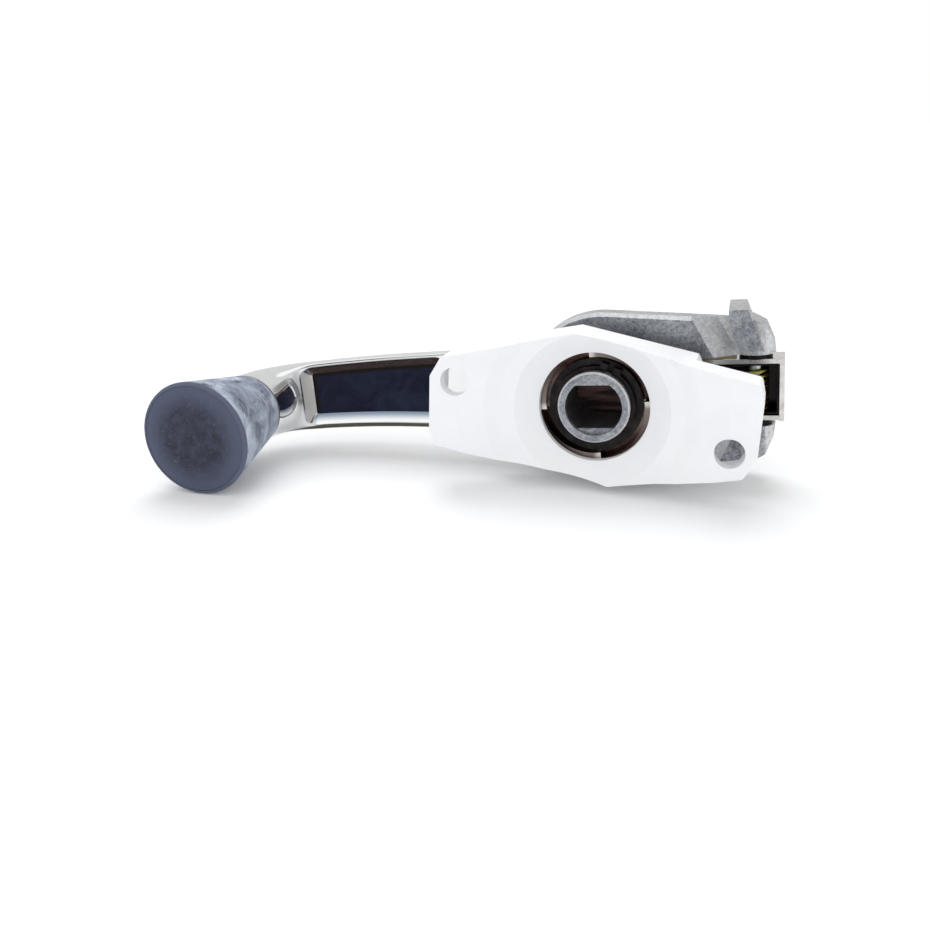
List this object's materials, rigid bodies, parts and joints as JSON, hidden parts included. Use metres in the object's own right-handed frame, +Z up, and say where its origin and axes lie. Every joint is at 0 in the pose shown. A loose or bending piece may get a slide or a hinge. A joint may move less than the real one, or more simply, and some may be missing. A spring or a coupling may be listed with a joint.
{
  "type": "sunroof crank handle",
  "caption": "Folding hand crank for a sliding roof: a screw-on plate carries a turning hub, a hinged arm and a spinning knob.",
  "frame": {"origin": "on the hub axis, in the plane of the plate's two screw pads", "axes": "-Y out of the screw pads towards the roof along the hub axis, -X along the folded arm towards the knob, +Z up as the handle lies on its side"},
  "size_m": [0.1189, 0.0456, 0.0332],
  "materials": {
    "white_nylon": "satin moulded nylon",
    "cast_zinc": "raw die-cast zinc, mottled",
    "chrome": "polished chrome plate",
    "plated_steel": "bright plated",
    "browned_steel": "browned, bright on the tooth tips",
    "dark_steel": "dark oiled spring steel",
    "steel": "turned",
    "yellow_zinc": "yellow passivated",
    "bronze": "rolled strip",
    "brass": "turned",
    "black_plastic": "satin",
    "slate_rubber": "matt, dusty",
    "navy_gloss": "dark navy gloss enamel"
  },
  "bodies": {
    "plate": {"mounting_plate": "white_nylon", "ratchet_ring": "browned_steel"},
    "hub": {"hub_body": "cast_zinc", "hub_circlip": "dark_steel", "click_washer": "dark_steel", "bearing_bush": "brass", "thrust_washer": "black_plastic", "hinge_pin": "steel", "hinge_washers": "dark_steel", "friction_leaf": "bronze", "torsion_spring": "yellow_zinc"},
    "arm": {"crank_arm": "chrome", "pocket_inlay": "navy_gloss", "hinge_bracket": "plated_steel", "detent_spring": "dark_steel", "bracket_rivets": "steel", "knob_axle": "steel", "axle_washer": "steel", "knob_washer": "dark_steel"},
    "knob": {"knob_body": "slate_rubber", "knob_cap": "slate_rubber", "knob_bush": "brass"}
  },
  "joints": [
    {"name": "crank_turn", "type": "hinge", "parent": "plate", "child": "hub", "pos_m": [0, 0.011, 0], "axis": [0, 1, 0], "continuous": true},
    {"name": "arm_fold", "type": "hinge", "parent": "hub", "child": "arm", "pos_m": [0.029, 0.021, 0], "axis": [0, 0, -1], "range_deg": [0, 178], "deforming": ["torsion_spring"]},
    {"name": "knob_spin", "type": "hinge", "parent": "arm", "child": "knob", "pos_m": [-0.0734, 0.001, 0], "axis": [0, 1, 0], "continuous": true}
  ]
}
